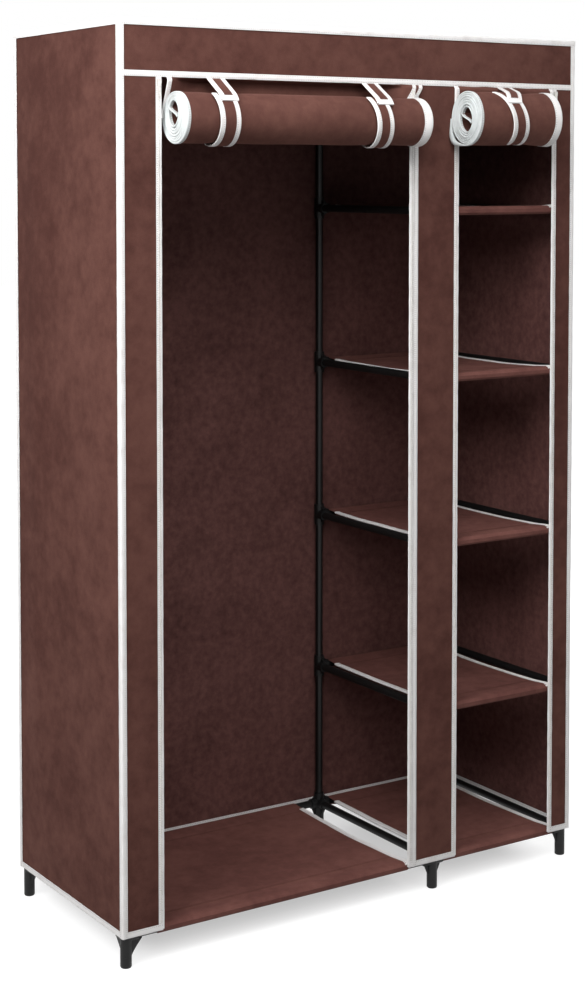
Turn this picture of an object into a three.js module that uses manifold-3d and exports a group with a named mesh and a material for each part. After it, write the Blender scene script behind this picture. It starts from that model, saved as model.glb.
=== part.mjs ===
// Portable fabric wardrobe: a plugged tube frame inside a sewn cloth cover with two rolled-up doors.
// Millimetres, +Z up, the open front faces -Y. The origin is on the floor under the middle of the box.
import * as THREE from 'three';
import { mergeVertices } from 'three/addons/utils/BufferGeometryUtils.js';
import Module from 'manifold-3d';

const wasm = await Module();
wasm.setup();

// Overall sizes of the cover, measured over its binding
const width = 1100;
const depth = 450;
const height = 1770;
const hemHeight = 60;

// Cloth, binding and the gap that is kept where two pieces touch
const clothThickness = 1.2;
const bindingThickness = 1.4;
const bindingWidth = 11;
const touchGap = 0.3;

// Front of the cover: the left door takes the width that the strips and the right door leave
const leftStripWidth = 89;
const middleStripWidth = 124;
const rightDoorWidth = 253;
const rightStripWidth = 60;
const valanceHeight = 99;
const zipTapeGap = 2;

// Steel tubes
const tubeRadius = 8;
const tubeWall = 1;
const tubeSides = 12;

// Moulded connectors: a barrel for each tube, with webs between upright and level barrels
const socketWall = 2.7;
const socketReach = 23;
const footSocketReach = 38;
const socketCore = 9;
const socketClearance = 0.3;
const webThickness = 3.6;
const webInset = 2;
const webTipShare = 0.75;

// Levels of the frame: the shelves share the height over the lowest one evenly
const baseTubeHeight = 60;
const lowestShelfRise = 315.8;
const shelfCount = 4;
const shelfSpan = 351;

// Feet
const footRound = 3;
const footSpigotLength = 24;
const footRoundSteps = 3;

// Hanging rail, carried by tees on the top side tubes
const teeReach = 17;
const railDepthShare = 0.5;

// Shelf and base cloths, sewn as sleeves round their front and back tubes
const sleeveSlack = 0.3;
const sleeveStitch = 42;
const sleeveSteps = 8;
const clothSag = 5;
const clothBow = 14;
const clothBowSteps = 6;
const shelfClothWidth = 287;
const baseClothWidth = 299;
const shelfClothGap = 24;
const baseClothGap = 66;

// Rolled doors: the sheet hangs from the seam, passes behind the roll and winds in from below
const doorThickness = 1.6;
const rollTurns = 6.93;
const rollCoreRadius = 18;
const rollSteps = 20;
const leftRoll = { radius: 51, drop: 80, forward: 34, startGap: 9, endGap: 6 };
const rightRoll = { radius: 53, drop: 73, forward: 58, startGap: -16, endGap: 63 };
const curtainInset = 3;

// Straps that tie the rolls up: a loop from behind and a tab sewn to the seam in front
const strapWidth = 36;
const strapThickness = 1.6;
const strapSteps = 24;
const tabSteps = 2;
const strapBite = 0.2;
const tabOnRollAngle = 15;
const loopLeadAngle = 3;
const leftStrapShares = [0.197, 0.82];
const rightStrapShare = 0.486;

// Zip sliders
const sliderWidth = 9;
const sliderHeight = 16;
const sliderDepth = 3.9;
const sliderShoulder = 3;
const sliderDrop = 4;
const pullWidth = 5;
const pullLength = 26;
const pullThickness = 1.4;
const pullBite = 1;

// Every cut runs past its faces by this much
const overrun = 1;

// Places worked out from the sizes above
const socketRadius = tubeRadius + socketClearance + socketWall;
const footRadius = socketRadius;
const panelFace = bindingThickness + touchGap;
const panelBack = panelFace + clothThickness;
const postInset = panelBack + touchGap + socketRadius;
const topTubeHeight = height - postInset;
const seamHeight = height - valanceHeight;
const seamBottom = seamHeight - bindingWidth / 2;
const postX = { left: postInset, middle: width - postInset - shelfSpan, right: width - postInset };
const postY = { front: postInset, back: depth - postInset };
const lowestShelf = baseTubeHeight + lowestShelfRise;
const shelfPitch = (topTubeHeight - lowestShelf) / shelfCount;
const shelfHeights = Array.from({ length: shelfCount }, (_, k) => lowestShelf + k * shelfPitch);
const leftDoorStart = leftStripWidth;
const rightDoorEnd = width - rightStripWidth;
const rightDoorStart = rightDoorEnd - rightDoorWidth;
const leftDoorEnd = rightDoorStart - middleStripWidth;
const leftDoorWidth = leftDoorEnd - leftDoorStart;

const vec2 = (x, y) => new THREE.Vector2(x, y);
const vec3 = (x, y, z) => new THREE.Vector3(x, y, z);

// Materials
const finish = (name, color, roughness, metalness) => {
  return new THREE.MeshStandardMaterial({ name, color, roughness, metalness });
};
const steelBlack = () => finish('black_steel_tube', 0x17130f, 0.38, 0.35);
const mouldedBlack = () => finish('black_moulded_plastic', 0x141414, 0.55, 0);
const brownCloth = () => finish('brown_nonwoven_cloth', 0x5c3835, 0.92, 0);
const whiteTape = () => finish('white_binding_tape', 0xf0ecea, 0.85, 0);
const whiteMetal = () => finish('white_enamelled_metal', 0xe6e3de, 0.45, 0.2);

// The scene graph
const wardrobe = new THREE.Group();

function addPiece(name, geometry, material) {
  const mesh = new THREE.Mesh(geometry, material);
  mesh.name = name;
  wardrobe.add(mesh);
  return mesh;
}

// Closed geometry to a solid and back, for joins and cuts
function toSolid(geometry) {
  const bare = geometry.clone();
  bare.deleteAttribute('normal');
  bare.deleteAttribute('uv');
  const merged = mergeVertices(bare);
  const vertProperties = new Float32Array(merged.attributes.position.array);
  const triVerts = new Uint32Array(merged.index.array);
  return new wasm.Manifold(new wasm.Mesh({ numProp: 3, vertProperties, triVerts }));
}

function toGeometry(solid) {
  const mesh = solid.getMesh();
  const geometry = new THREE.BufferGeometry();
  geometry.setAttribute('position', new THREE.BufferAttribute(new Float32Array(mesh.vertProperties), 3));
  geometry.setIndex(new THREE.BufferAttribute(new Uint32Array(mesh.triVerts), 1));
  geometry.computeVertexNormals();
  return geometry;
}

const joinAll = (geometries) => geometries.map(toSolid).reduce((whole, part) => whole.add(part));
const cutAll = (solid, cuts) => cuts.map(toSolid).reduce((rest, part) => rest.subtract(part), solid);

// A round bar between two points
function bar(start, end, radius) {
  const along = new THREE.Vector3().subVectors(end, start);
  const geometry = new THREE.CylinderGeometry(radius, radius, along.length(), tubeSides);
  const turn = new THREE.Quaternion().setFromUnitVectors(vec3(0, 1, 0), along.clone().normalize());
  geometry.applyQuaternion(turn);
  return geometry.translate(...new THREE.Vector3().addVectors(start, end).divideScalar(2).toArray());
}

// A box from its two corners
function slab(low, high) {
  const size = high.map((value, axis) => value - low[axis]);
  const middle = high.map((value, axis) => (value + low[axis]) / 2);
  return new THREE.BoxGeometry(...size).translate(...middle);
}

// An outline in the Y-Z plane, pulled along X from start over a length
function alongX(shape, start, length) {
  const geometry = new THREE.ExtrudeGeometry(shape, { depth: length, bevelEnabled: false, steps: 1 });
  const axes = new THREE.Matrix4().makeBasis(
    vec3(0, 1, 0), vec3(0, 0, 1), vec3(1, 0, 0));
  return geometry.applyMatrix4(axes).translate(start, 0, 0);
}

// A band of even thickness along a line of points, as a closed outline
function bandOutline(points, thickness) {
  const side = (sign) => points.map((point, k) => {
    const before = points[Math.max(k - 1, 0)];
    const after = points[Math.min(k + 1, points.length - 1)];
    const along = new THREE.Vector2().subVectors(after, before).normalize();
    return vec2(point.x - sign * along.y * thickness / 2, point.y + sign * along.x * thickness / 2);
  });
  return new THREE.Shape([...side(1), ...side(-1).reverse()]);
}

const directions = {
  right: vec3(1, 0, 0),
  left: vec3(-1, 0, 0),
  back: vec3(0, 1, 0),
  front: vec3(0, -1, 0),
  up: vec3(0, 0, 1),
  down: vec3(0, 0, -1),
};

// One barrel of a connector: the upright ones pass the centre, so they close the corner
function barrel(centre, way, reach) {
  const start = centre.clone().addScaledVector(way, -socketRadius * Math.abs(way.z));
  return bar(start, centre.clone().addScaledVector(way, reach), socketRadius);
}

// The hole that a tube end plugs into
function socketBore(centre, way, reach) {
  const start = centre.clone().addScaledVector(way, socketCore);
  return bar(start, centre.clone().addScaledVector(way, reach + overrun), tubeRadius + socketClearance);
}

// A stiffening web in the corner between a level and an upright barrel
function web(centre, level, upright, uprightReach) {
  const across = socketReach - webInset;
  const along = uprightReach - webInset;
  const tip = socketRadius * webTipShare;
  const outline = new THREE.Shape([
    vec2(0, 0), vec2(across, 0), vec2(across, tip),
    vec2(tip, along), vec2(0, along),
  ]);
  const plate = new THREE.ExtrudeGeometry(outline, { depth: webThickness, bevelEnabled: false, steps: 1 });
  plate.translate(0, 0, -webThickness / 2);
  const normal = new THREE.Vector3().crossVectors(level, upright);
  const turn = new THREE.Matrix4().makeBasis(level, upright, normal);
  return plate.applyMatrix4(turn).translate(...centre.toArray());
}

// A connector's solid parts and the bores of its upright sockets, given as [way, reach]
function connector(centre, levelWays, uprights) {
  const levels = levelWays.map((name) => directions[name]);
  const sockets = uprights.map(([name, reach]) => [directions[name], reach]);
  const webs = levels.flatMap((level) => sockets.map(([way, reach]) => web(centre, level, way, reach)));
  const barrels = [...levels.map((level) => [level, socketReach]), ...sockets];
  return {
    solids: [...barrels.map(([way, reach]) => barrel(centre, way, reach)), ...webs],
    bores: sockets.map(([way, reach]) => socketBore(centre, way, reach)),
  };
}

// A level of the frame: its tubes stay plugged in its connectors and are one solid with them
function frameLevel(name, z, columns, uprights, extras = []) {
  const solids = [...extras];
  const bores = [];
  columns.forEach((x, column) => {
    const neighbours = { left: columns[column - 1], right: columns[column + 1] };
    const sideways = Object.keys(neighbours).filter((way) => neighbours[way] !== undefined);
    const front = vec3(x, postY.front, z);
    const back = vec3(x, postY.back, z);
    solids.push(bar(front, back, tubeRadius));
    [[front, 'back'], [back, 'front']].forEach(([corner, inward]) => {
      const parts = connector(corner, [...sideways, inward], uprights);
      solids.push(...parts.solids);
      bores.push(...parts.bores);
      if (column > 0) solids.push(bar(vec3(columns[column - 1], corner.y, z), corner, tubeRadius));
    });
  });
  addPiece(name, toGeometry(cutAll(joinAll(solids), bores)), mouldedBlack());
}

// The hanging rail and its tees, one on each side tube of the hanging side
function hangingRail() {
  const y = depth * railDepthShare;
  const [start, end] = [postX.left, postX.middle].map((x) => vec3(x, y, topTubeHeight));
  const tees = [[start, 'right'], [end, 'left']].flatMap(([centre, way]) => {
    const front = centre.clone().addScaledVector(directions.front, teeReach);
    const back = centre.clone().addScaledVector(directions.back, teeReach);
    return [bar(front, back, socketRadius), barrel(centre, directions[way], socketReach)];
  });
  return [...tees, bar(start, end, tubeRadius)];
}

// A hollow tube between two connectors, standing just off the stops in their sockets
function plugTube(name, start, end) {
  const way = new THREE.Vector3().subVectors(end, start).normalize();
  const stop = socketCore + touchGap;
  const from = start.clone().addScaledVector(way, stop);
  const to = end.clone().addScaledVector(way, -stop);
  const hole = bar(from.clone().addScaledVector(way, -overrun), to.clone().addScaledVector(way, overrun),
    tubeRadius - tubeWall);
  addPiece(name, toGeometry(cutAll(toSolid(bar(from, to, tubeRadius)), [hole])), steelBlack());
}

// A foot: a round-edged cup with a spigot that plugs into the connector above it
function foot(name, x, y) {
  const top = baseTubeHeight - footSocketReach - touchGap;
  const spigotRadius = tubeRadius;
  const rounding = Array.from({ length: footRoundSteps + 1 }, (_, k) => {
    const angle = (k / footRoundSteps) * Math.PI / 2;
    return vec2(footRadius - footRound * (1 - Math.sin(angle)), footRound * (1 - Math.cos(angle)));
  });
  const profile = [
    vec2(0, 0), ...rounding, vec2(footRadius, top),
    vec2(spigotRadius, top), vec2(spigotRadius, top + footSpigotLength),
    vec2(0, top + footSpigotLength),
  ];
  const geometry = new THREE.LatheGeometry(profile, tubeSides).rotateX(Math.PI / 2).translate(x, y, 0);
  addPiece(name, geometry, mouldedBlack());
}

// The tube frame
const columns = [postX.left, postX.middle, postX.right];
const columnNames = ['left', 'middle', 'right'];
const rows = [['front', postY.front], ['back', postY.back]];
const socketUp = ['up', socketReach];
const socketDown = ['down', socketReach];
frameLevel('base_frame', baseTubeHeight, columns, [socketUp, ['down', footSocketReach]]);
frameLevel('top_frame', topTubeHeight, columns, [socketDown], hangingRail());
shelfHeights.forEach((z, k) => {
  frameLevel(`shelf_frame_${k + 1}`, z, [postX.middle, postX.right], [socketUp, socketDown]);
});
const shelfStack = [baseTubeHeight, ...shelfHeights, topTubeHeight];
rows.forEach(([row, y]) => {
  plugTube(`left_${row}_post`, vec3(postX.left, y, baseTubeHeight),
    vec3(postX.left, y, topTubeHeight));
  columnNames.slice(1).forEach((column) => {
    shelfStack.slice(1).forEach((z, k) => {
      plugTube(`${column}_${row}_post_tube_${k + 1}`, vec3(postX[column], y, shelfStack[k]),
        vec3(postX[column], y, z));
    });
  });
  columnNames.forEach((column) => foot(`${column}_${row}_foot`, postX[column], y));
});

// Cover panels, held apart from each other only by the touching gap under the binding
const wallLow = hemHeight + panelFace;
const wallHigh = height - panelBack - touchGap;
const wallFront = panelBack + touchGap;
const wallRear = depth - panelBack - touchGap;
const stripHigh = seamHeight - touchGap / 2;
const farX = width - panelFace;
const farY = depth - panelFace;
const panels = {
  cover_top: [[panelFace, panelFace, height - panelBack], [farX, farY, height - panelFace]],
  cover_back: [[panelFace, depth - panelBack, wallLow], [farX, farY, wallHigh]],
  cover_left_side: [[panelFace, wallFront, wallLow], [panelBack, wallRear, wallHigh]],
  cover_right_side: [[width - panelBack, wallFront, wallLow], [farX, wallRear, wallHigh]],
  cover_valance: [[panelFace, panelFace, seamHeight + touchGap / 2], [farX, panelBack, wallHigh]],
  cover_left_strip: [[panelFace, panelFace, wallLow], [leftDoorStart - panelFace, panelBack, stripHigh]],
  cover_middle_strip: [[leftDoorEnd + panelFace, panelFace, wallLow],
    [rightDoorStart - panelFace, panelBack, stripHigh]],
  cover_right_strip: [[rightDoorEnd + panelFace, panelFace, wallLow], [farX, panelBack, stripHigh]],
};
Object.entries(panels).forEach(([name, [low, high]]) => addPiece(name, slab(low, high), brownCloth()));

// Binding: one white tape network over every seam and free edge of the cover
function bindingTapes() {
  const t = bindingThickness;
  const w = bindingWidth;
  const tapes = [];
  [[0, t, w], [width - t, width, width - w]].forEach(([xLow, xHigh, xTurn]) => {
    [[0, t, w], [depth - t, depth, depth - w]].forEach(([yLow, yHigh, yTurn]) => {
      const edgeX = [Math.min(xLow, xTurn), Math.max(xHigh, xTurn)];
      const edgeY = [Math.min(yLow, yTurn), Math.max(yHigh, yTurn)];
      tapes.push(slab([xLow, edgeY[0], hemHeight], [xHigh, edgeY[1], height]));
      tapes.push(slab([edgeX[0], yLow, hemHeight], [edgeX[1], yHigh, height]));
    });
    tapes.push(slab([xLow, 0, height - w], [xHigh, depth, height]));
    tapes.push(slab([Math.min(xLow, xTurn), 0, height - t], [Math.max(xHigh, xTurn), depth, height]));
    tapes.push(slab([xLow, 0, hemHeight], [xHigh, depth, hemHeight + w]));
  });
  [[0, t, w], [depth - t, depth, depth - w]].forEach(([yLow, yHigh, yTurn]) => {
    tapes.push(slab([0, yLow, height - w], [width, yHigh, height]));
    tapes.push(slab([0, Math.min(yLow, yTurn), height - t], [width, Math.max(yHigh, yTurn), height]));
  });
  tapes.push(slab([0, depth - t, hemHeight], [width, depth, hemHeight + w]));
  tapes.push(slab([0, 0, seamBottom], [width, t, seamBottom + w]));
  const strips = [[0, leftDoorStart], [leftDoorEnd, rightDoorStart], [rightDoorEnd, width]];
  strips.forEach(([low, high]) => {
    tapes.push(slab([low, 0, hemHeight], [high, t, hemHeight + w]));
    tapes.push(slab([low, 0, hemHeight], [high, panelBack, hemHeight + t]));
  });
  const zipBinding = leftDoorEnd + w + zipTapeGap;
  const edges = [leftDoorStart - w, leftDoorEnd, zipBinding, rightDoorStart - w, rightDoorEnd];
  edges.forEach((low) => tapes.push(slab([low, 0, hemHeight], [low + w, t, seamHeight])));
  const lips = [[leftDoorStart - t, leftDoorStart], [leftDoorEnd, leftDoorEnd + t],
    [rightDoorStart - t, rightDoorStart], [rightDoorEnd, rightDoorEnd + t]];
  lips.forEach(([low, high]) => tapes.push(slab([low, 0, hemHeight], [high, panelBack, seamBottom])));
  return toGeometry(joinAll(tapes));
}
addPiece('cover_binding', bindingTapes(), whiteTape());

// A cloth stretched between a front and a back tube: its profile has a sleeve at each end
function sleeveCloth(name, left, clothWidth, z) {
  const inner = tubeRadius + sleeveSlack;
  const outer = inner + clothThickness;
  const half = clothThickness / 2;
  const middle = (postY.front + postY.back) / 2;
  const reach = postY.back - middle;
  const stitch = (sign, up = 0) => vec2(middle + sign * (reach - sleeveStitch), z - clothSag / 2 + up);
  const dip = (up) => vec2(middle, z - clothSag + up);
  const tube = (sign) => vec2(middle + sign * reach, z);
  const tip = (sign, share) => stitch(sign).sub(tube(sign)).multiplyScalar(share);
  const sleeve = (sign, radius) => {
    const toTip = tip(sign, radius / outer);
    const lean = Math.acos(radius / toTip.length());
    return Array.from({ length: sleeveSteps + 1 }, (_, k) => {
      const angle = toTip.angle() + lean + 2 * (Math.PI - lean) * k / sleeveSteps;
      return tube(sign).add(vec2(radius * Math.cos(angle), radius * Math.sin(angle)));
    });
  };
  const outline = new THREE.Shape([
    ...sleeve(1, outer), stitch(1, half), dip(half), stitch(-1, half),
    ...sleeve(-1, outer), stitch(-1, -half), dip(-half), stitch(1, -half),
  ]);
  [1, -1].forEach((sign) => {
    const pocketTip = tube(sign).add(tip(sign, inner / outer));
    outline.holes.push(new THREE.Path([...sleeve(sign, inner), pocketTip]));
  });
  const sheet = alongX(outline, left, clothWidth);
  const bow = Array.from({ length: clothBowSteps + 1 }, (_, k) => {
    const share = k / clothBowSteps;
    const y = middle - reach + sleeveStitch + share * 2 * (reach - sleeveStitch);
    return vec2(y, clothBow * Math.sin(Math.PI * share));
  });
  const sideCut = (edge, sign) => {
    const points = bow.map((point) => vec2(edge + sign * point.y, point.x));
    points[0].x -= sign * overrun;
    points[clothBowSteps].x -= sign * overrun;
    const scoop = new THREE.Shape(points);
    const tall = 2 * (outer + overrun);
    const cutter = new THREE.ExtrudeGeometry(scoop, { depth: tall, bevelEnabled: false, steps: 1 });
    return cutter.translate(0, 0, z - tall / 2);
  };
  const solid = cutAll(toSolid(sheet), [sideCut(left, 1), sideCut(left + clothWidth, -1)]);
  addPiece(name, toGeometry(solid), brownCloth());
}
shelfHeights.forEach((z, k) => {
  sleeveCloth(`shelf_cloth_${k + 1}`, postX.middle + shelfClothGap, shelfClothWidth, z);
});
sleeveCloth('base_cloth_right', postX.middle + shelfClothGap, baseClothWidth, baseTubeHeight);
const leftBay = postX.middle - postX.left;
sleeveCloth('base_cloth_left', postX.left + baseClothGap, leftBay - 2 * baseClothGap, baseTubeHeight);

// Where a roll hangs: its axis in the Y-Z plane
const rollAxis = (roll) => vec2(-roll.forward, seamHeight - roll.drop);

// A rolled door: the sheet wound in from the back, with its end folded across the core
function doorRoll(name, [start, end], roll) {
  const axis = rollAxis(roll);
  const outer = roll.radius - doorThickness / 2;
  const count = Math.round(rollTurns * rollSteps);
  const onSpiral = (radius, turns) => {
    const angle = -2 * Math.PI * turns;
    return vec2(axis.x + radius * Math.cos(angle), axis.y + radius * Math.sin(angle));
  };
  const spiral = Array.from({ length: count + 1 }, (_, k) => {
    return onSpiral(outer - (outer - rollCoreRadius) * k / count, rollTurns * k / count);
  });
  spiral.push(onSpiral(rollCoreRadius - doorThickness, rollTurns + 1 / 2));
  console.log(`${name}: least gap between turns ${leastGap(spiral).toFixed(2)} mm`);
  const left = start + roll.startGap;
  const sheet = alongX(bandOutline(spiral, doorThickness), left, end - roll.endGap - left);
  addPiece(name, sheet, brownCloth());
}

// The least gap between one turn of a wound band and the turns more than half a turn away, on its points
function leastGap(points) {
  const apart = points.flatMap((a, i) => points.slice(i + rollSteps / 2).map((b) => a.distanceTo(b)));
  return Math.min(...apart) - doorThickness;
}

// The stretch of a door between the seam and its roll
function doorCurtain(name, [start, end], roll) {
  const axis = rollAxis(roll);
  const top = vec2(panelFace + doorThickness / 2, seamHeight - touchGap / 2);
  const fold = vec2(top.x, seamBottom - touchGap);
  const low = vec2(axis.x + roll.radius + touchGap + doorThickness / 2, axis.y);
  const left = start + Math.max(roll.startGap, curtainInset);
  const sheet = alongX(bandOutline([low, fold, top], doorThickness), left, end - roll.endGap - left);
  addPiece(name, sheet, brownCloth());
}
const doors = {
  left_door: { opening: [leftDoorStart, leftDoorEnd], roll: leftRoll },
  right_door: { opening: [rightDoorStart, rightDoorEnd], roll: rightRoll },
};
Object.entries(doors).forEach(([name, { opening, roll }]) => {
  doorRoll(`${name}_roll`, opening, roll);
  doorCurtain(`${name}_curtain`, opening, roll);
});

// A strap: its loop runs down behind the roll and up its front, and its tab comes over the top from the seam
function strap(name, x, roll) {
  const axis = rollAxis(roll);
  const loopRadius = roll.radius + touchGap + doorThickness + touchGap + strapThickness / 2;
  const tabRadius = loopRadius + strapThickness - strapBite;
  const onRoll = (radius, degrees) => {
    const angle = THREE.MathUtils.degToRad(degrees);
    return vec2(axis.x + radius * Math.cos(angle), axis.y + radius * Math.sin(angle));
  };
  const arc = (radius, from, to, steps) => Array.from({ length: steps + 1 }, (_, k) => {
    return onRoll(radius, from + (to - from) * k / steps);
  });
  const back = panelFace + doorThickness + touchGap;
  const behind = vec2(back + strapThickness / 2, seamHeight - touchGap);
  const fold = vec2(behind.x, seamBottom - touchGap);
  const sewn = vec2(-strapThickness / 2, seamBottom - touchGap);
  const reach = new THREE.Vector2().subVectors(sewn, axis);
  const leave = THREE.MathUtils.radToDeg(reach.angle() + Math.acos(tabRadius / reach.length()));
  const wrap = arc(loopRadius, 0, leave + loopLeadAngle - 360, strapSteps);
  const loop = bandOutline([behind, fold, ...wrap], strapThickness);
  const tab = bandOutline([sewn, ...arc(tabRadius, leave, leave + tabOnRollAngle, tabSteps)], strapThickness);
  const solids = [loop, tab].map((outline) => alongX(outline, x - strapWidth / 2, strapWidth));
  addPiece(name, toGeometry(joinAll(solids)), brownCloth());
}
leftStrapShares.forEach((share, k) => {
  strap(`left_door_strap_${k + 1}`, leftDoorStart + share * leftDoorWidth, leftRoll);
});
strap('right_door_strap', rightDoorStart + rightStrapShare * rightDoorWidth, rightRoll);

// A zip slider on its tape, with the pull hanging in front of it
function zipSlider(name, x) {
  const top = seamBottom - sliderDrop;
  const half = sliderWidth / 2;
  const nose = half - sliderShoulder;
  const outline = new THREE.Shape([
    vec2(-half, 0), vec2(-half, -sliderHeight / 2),
    vec2(-nose, -sliderHeight), vec2(nose, -sliderHeight),
    vec2(half, -sliderHeight / 2), vec2(half, 0),
  ]);
  const thick = sliderDepth - pullThickness;
  const body = new THREE.ExtrudeGeometry(outline, { depth: thick, bevelEnabled: false, steps: 1 });
  body.rotateX(Math.PI / 2).translate(x, -touchGap, top);
  const pullTop = top - sliderHeight / 2;
  const pull = slab([x - pullWidth / 2, -touchGap - sliderDepth, pullTop - pullLength],
    [x + pullWidth / 2, -touchGap - thick + pullBite, pullTop]);
  const clear = slab([x - sliderWidth, -touchGap - thick, pullTop - pullLength - overrun],
    [x + sliderWidth, 0, top - sliderHeight]);
  addPiece(name, toGeometry(cutAll(joinAll([body, pull]), [clear])), whiteMetal());
}
zipSlider('left_door_zip_slider_1', leftDoorStart - bindingWidth / 2);
zipSlider('left_door_zip_slider_2', leftDoorEnd + bindingWidth / 2);
zipSlider('right_door_zip_slider_1', rightDoorStart - bindingWidth / 2);
zipSlider('right_door_zip_slider_2', rightDoorEnd + bindingWidth / 2);

// The origin stands on the floor, in the middle of the whole box
const box = new THREE.Box3().setFromObject(wardrobe);
const centre = box.getCenter(new THREE.Vector3());
wardrobe.position.set(-centre.x, -centre.y, 0);

export default wardrobe;
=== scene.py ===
import math
import bmesh
import bpy
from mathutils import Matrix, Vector, noise


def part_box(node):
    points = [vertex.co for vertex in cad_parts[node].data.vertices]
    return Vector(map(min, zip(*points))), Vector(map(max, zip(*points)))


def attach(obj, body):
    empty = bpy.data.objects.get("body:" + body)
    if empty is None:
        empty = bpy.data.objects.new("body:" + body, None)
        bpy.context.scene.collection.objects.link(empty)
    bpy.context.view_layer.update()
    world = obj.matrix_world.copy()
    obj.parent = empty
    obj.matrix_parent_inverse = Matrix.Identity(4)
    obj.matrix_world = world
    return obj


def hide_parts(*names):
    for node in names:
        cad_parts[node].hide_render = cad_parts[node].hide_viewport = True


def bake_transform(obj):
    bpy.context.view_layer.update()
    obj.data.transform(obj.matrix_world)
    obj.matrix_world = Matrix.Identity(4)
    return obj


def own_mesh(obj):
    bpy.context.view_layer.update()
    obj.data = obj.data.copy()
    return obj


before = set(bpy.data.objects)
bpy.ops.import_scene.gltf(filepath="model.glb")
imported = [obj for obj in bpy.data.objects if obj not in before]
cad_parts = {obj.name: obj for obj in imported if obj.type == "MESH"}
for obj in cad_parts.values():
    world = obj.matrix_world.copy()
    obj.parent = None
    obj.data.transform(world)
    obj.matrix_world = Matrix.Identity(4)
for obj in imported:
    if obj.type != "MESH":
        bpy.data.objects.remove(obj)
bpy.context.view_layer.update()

# Camera: fitted to the corners, hems, door edges and shelf levels of the photo
camera = {
    "place": (-2.1482, -3.1905, 1.4821), "pitch": -3.0, "yaw": 33.176, "lens": 67.912, "shiftY": -0.2228}
cameraData = bpy.data.cameras.new("photoCamera")
cameraData.lens = camera["lens"]
cameraData.shift_y = camera["shiftY"]
cameraObject = bpy.data.objects.new("photoCamera", cameraData)
cameraObject.location = camera["place"]
cameraObject.rotation_euler = (math.radians(90 + camera["pitch"]), 0, -math.radians(camera["yaw"]))
bpy.context.scene.collection.objects.link(cameraObject)
bpy.context.scene.camera = cameraObject
bpy.context.scene.view_settings.view_transform = "Standard"


# Shader maths: a Wire is one output socket, and a sum on it adds its Math node
class Wire:
    def __init__(self, paint, socket):
        self.paint = paint
        self.socket = socket

    def math(self, operation, *values):
        return self.paint.node("ShaderNodeMath", {"operation": operation}, values)

    def __add__(self, other):
        return self.math("ADD", self, other)

    def __sub__(self, other):
        return self.math("SUBTRACT", self, other)

    def __mul__(self, other):
        return self.math("MULTIPLY", self, other)

    def __truediv__(self, other):
        return self.math("DIVIDE", self, other)

    def __rsub__(self, other):
        return self.math("SUBTRACT", other, self)

    def absolute(self):
        return self.math("ABSOLUTE", self)

    def fraction(self):
        return self.math("FRACT", self)

    def under(self, other):
        return self.math("LESS_THAN", self, other)

    def between(self, low, high, start=0.0, end=1.0):  # smooth step from start to end
        settings = {"interpolation_type": "SMOOTHSTEP"}
        return self.paint.node("ShaderNodeMapRange", settings, (self, low, high, start, end))


# A material: constants go on the Principled shader's own sockets, and node() adds any other node
class Paint:
    def __init__(self, name, constants):
        self.material = bpy.data.materials.new(name)
        self.material.use_nodes = True
        self.tree = self.material.node_tree
        self.shader = self.tree.nodes["Principled BSDF"]
        self.feed(constants)

    def feed(self, inputs, node=None):
        sockets = (node or self.shader).inputs
        for key, value in inputs.items():
            if isinstance(value, Wire):
                self.tree.links.new(value.socket, sockets[key])
            else:
                sockets[key].default_value = value

    def node(self, kind, settings=None, inputs=(), output=0):
        made = self.tree.nodes.new(kind)
        for key, value in (settings or {}).items():
            setattr(made, key, value)
        self.feed(inputs if isinstance(inputs, dict) else dict(enumerate(inputs)), made)
        return Wire(self, made.outputs[output])

    def mix(self, factor, first, second):
        return self.node("ShaderNodeMix", {"data_type": "RGBA"}, {0: factor, 6: first, 7: second}, 2)

    def place(self, source="Object"):
        return self.node("ShaderNodeTexCoord", output=source)

    def uv(self):  # the piece's flat map in metres: along it, and across from its edge
        split = self.node("ShaderNodeSeparateXYZ", inputs=(self.place("UV"),)).socket.node
        return Wire(self, split.outputs[0]), Wire(self, split.outputs[1])

    def noise(self, vector, scale, detail=4.0, roughness=0.55):
        return self.node("ShaderNodeTexNoise", inputs={
            "Vector": vector, "Scale": scale, "Detail": detail, "Roughness": roughness})

    def cells(self, vector, scale):
        return self.node("ShaderNodeTexVoronoi", inputs={"Vector": vector, "Scale": scale})

    def bump(self, height, distance, strength=1.0):
        self.feed({"Normal": self.node("ShaderNodeBump", inputs={
            "Strength": strength, "Distance": distance, "Height": height})})


def screen(red, green, blue):  # a colour as the screen shows it, 0 to 255
    linear = [((c / 255 + 0.055) / 1.055) ** 2.4 for c in (red, green, blue)]
    return (*linear, 1.0)


# Brown non-woven cloth: pressed fibres with bonded dots, cloudy where the nap is brushed
outerCloth = {
    "dark": (70, 40, 35), "light": (106, 70, 62), "cloud": 3.2, "patch": 30.0, "contrast": (0.32, 0.70),
    "cloudShare": 0.6, "rough": (0.86, 0.96), "relief": 0.0003, "sheen": 0.03}
innerCloth = {
    "dark": (70, 43, 41), "light": (126, 86, 81), "cloud": 7.0, "patch": 60.0, "contrast": (0.24, 0.78),
    "cloudShare": 0.45, "rough": (0.88, 0.97), "relief": 0.0004, "sheen": 0.04}
rolledCloth = {
    "dark": (84, 52, 46), "light": (114, 76, 67), "cloud": 7.0, "patch": 46.0, "contrast": (0.28, 0.75),
    "cloudShare": 0.6, "rough": (0.70, 0.84), "relief": 0.0003, "sheen": 0.05}
shelfCloth = {
    "dark": (92, 56, 52), "light": (132, 88, 80), "cloud": 6.0, "patch": 40.0, "contrast": (0.26, 0.76),
    "cloudShare": 0.6, "rough": (0.80, 0.92), "relief": 0.0003, "sheen": 0.04}
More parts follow.
